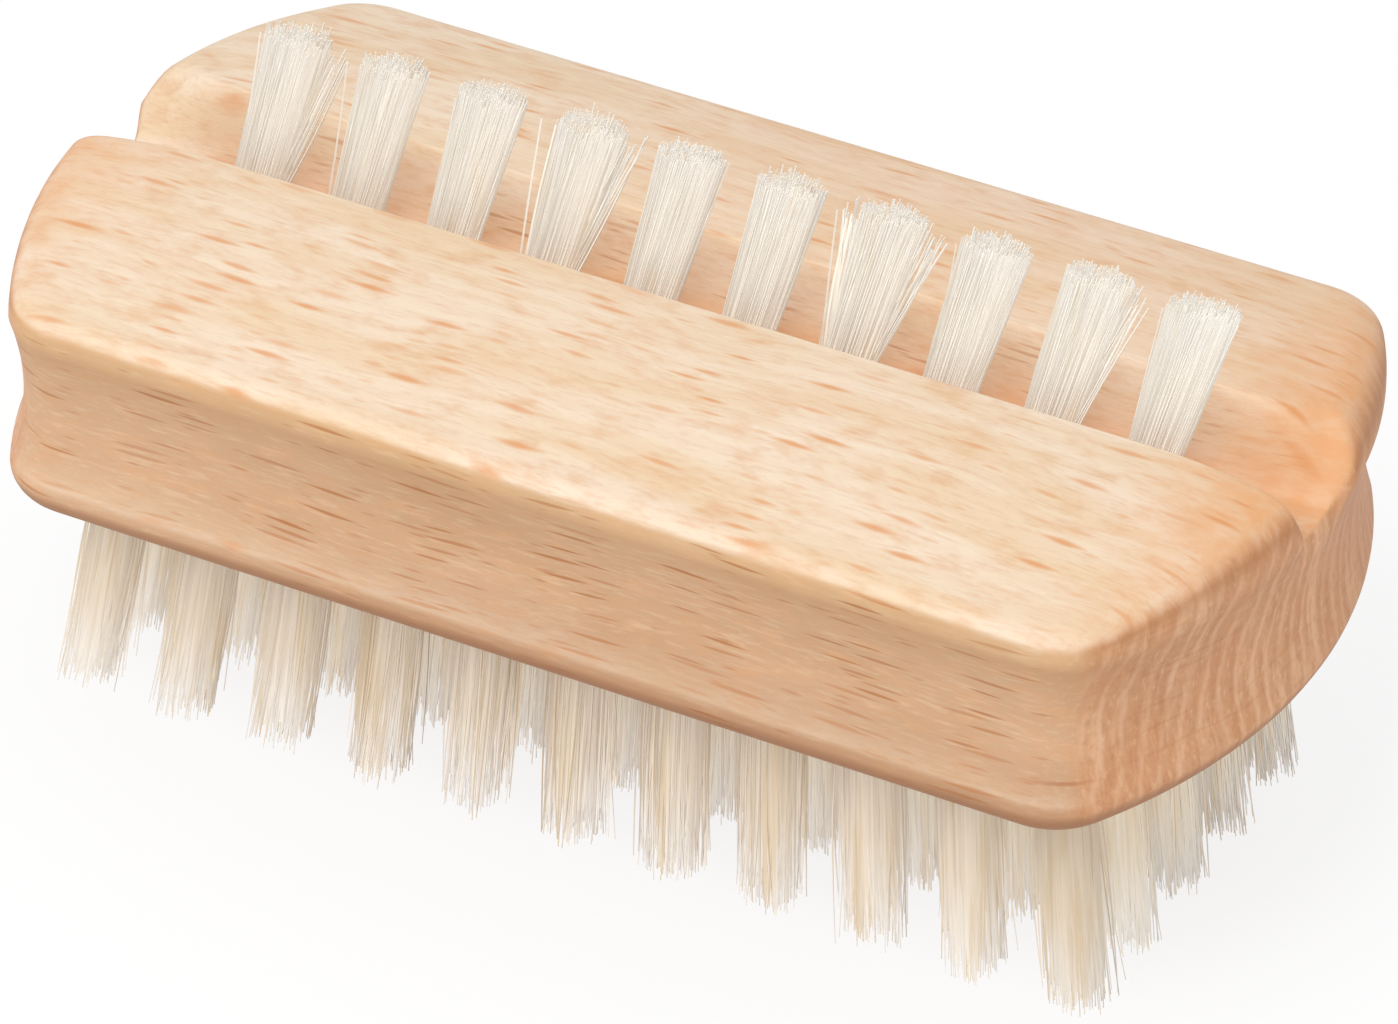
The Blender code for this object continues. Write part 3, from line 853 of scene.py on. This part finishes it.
# Beside some short tufts a few bristles have sprung out of the bundle and stand apart from it. Every one of
# these wisps has the number of its tuft and how far its tip stands off along and across the channel.
wisps = ((0, 0.00338, 0.0002), (3, 0.00312, 0.0005), (6, -0.00299, -0.0003), (6, 0.00338, 0.0001),
         (8, 0.00299, 0.0004))
wisp_foot = 0.0011
wisp_drop = 0.0006
wisp_places = []
for tuft, off_along, off_across in wisps:
    mouth, out = top_place(tuft)
    tip = mouth + out * top_rise + Vector((off_along, off_across, 0))
    start = mouth + Vector((math.copysign(wisp_foot, off_along), 0, 0))
    wisp_places.append((start, (tip - start).normalized()))
tuft_piece("sprung_bristles", wisp_places, white, "top_bristle", [], top_cut - wisp_drop,
           tones=[0.0] * len(wisps), Strands=16, Flare=0.5, Flare_across=0.5, Ragged=0.0016,
           Thickness=0.00018, Bow=0.0003, Jitter=0.00020, Seed=130, Root_radius=0.0006, Tip_share=0.7,
           Stray_reach=0.0010)

# A pale floor under soft studio light: a broad lamp above the near left and a plain white surround. To the
# camera alone the floor mostly shines by itself, so that it comes out nearly white with a faint shadow.
floor_reach = 3
sheet = bpy.data.meshes.new("floor")
sheet.from_pydata([(-floor_reach, -floor_reach, 0), (floor_reach, -floor_reach, 0),
                   (floor_reach, floor_reach, 0), (-floor_reach, floor_reach, 0)], [], [(0, 1, 2, 3)])
floor = bpy.data.objects.new("floor", sheet)
bpy.context.scene.collection.objects.link(floor)
pale = bpy.data.materials.new("pale_floor")
pale.use_nodes = True
ground = pale.node_tree
shader = ground.nodes["Principled BSDF"]
shader.inputs["Base Color"].default_value = (0.92, 0.92, 0.92, 1)
shader.inputs["Roughness"].default_value = 0.8
rays = node(ground, "ShaderNodeLightPath")
bright = node(ground, "ShaderNodeEmission", {"Color": (1, 1, 1, 1), "Strength": 1.0})
share = maths(ground, "MULTIPLY", rays.outputs["Is Camera Ray"], 0.80)
blend = node(ground, "ShaderNodeMixShader", {0: share, 1: shader.outputs[0], 2: bright.outputs[0]})
ground.links.new(blend.outputs[0], ground.nodes["Material Output"].inputs["Surface"])
floor.data.materials.append(pale)

world = bpy.data.worlds.new("surround")
world.use_nodes = True
sky = world.node_tree.nodes["Background"]
sky.inputs["Color"].default_value = (1, 1, 1, 1)
sky.inputs["Strength"].default_value = 0.78
bpy.context.scene.world = world

key_place = Vector((-0.08, -0.60, 0.78))
key_target = Vector((0, 0, 0.03))
key = bpy.data.lights.new("key", "AREA")
key.shape = "DISK"
key.size = 0.60
key.energy = 5.2
lamp = bpy.data.objects.new("key", key)
bpy.context.scene.collection.objects.link(lamp)
lamp.location = key_place
lamp.rotation_euler = (key_target - key_place).to_track_quat("-Z", "Y").to_euler()

# The camera stands where the photograph's did: at the near right and above, a little rolled, with a long lens
camera_azimuth = math.radians(25.9)
camera_elevation = math.radians(34.1)
camera_roll = math.radians(2.25)
camera_distance = 0.640
focal_pixels = 9260
aim_right = 0.00030
aim_up = -0.00765
aim_height = 0.0274
frame_width = 1398
sensor_width = 36
back = Vector((math.sin(camera_azimuth) * math.cos(camera_elevation),
               -math.cos(camera_azimuth) * math.cos(camera_elevation), math.sin(camera_elevation)))
level = Vector((math.cos(camera_azimuth), math.sin(camera_azimuth), 0))
upright = back.cross(level)
right = level * math.cos(camera_roll) + upright * math.sin(camera_roll)
up = upright * math.cos(camera_roll) - level * math.sin(camera_roll)
lens = bpy.data.cameras.new("camera")
lens.sensor_width = sensor_width
lens.lens = focal_pixels * sensor_width / frame_width
lens.clip_start = 0.01
lens.clip_end = 20
camera = bpy.data.objects.new("camera", lens)
bpy.context.scene.collection.objects.link(camera)
turned = Matrix((right, up, back)).transposed().to_4x4()
turned.translation = Vector((0, 0, aim_height)) + right * aim_right + up * aim_up + back * camera_distance
camera.matrix_world = turned
bpy.context.scene.camera = camera
bpy.context.scene.view_settings.view_transform = "Standard"
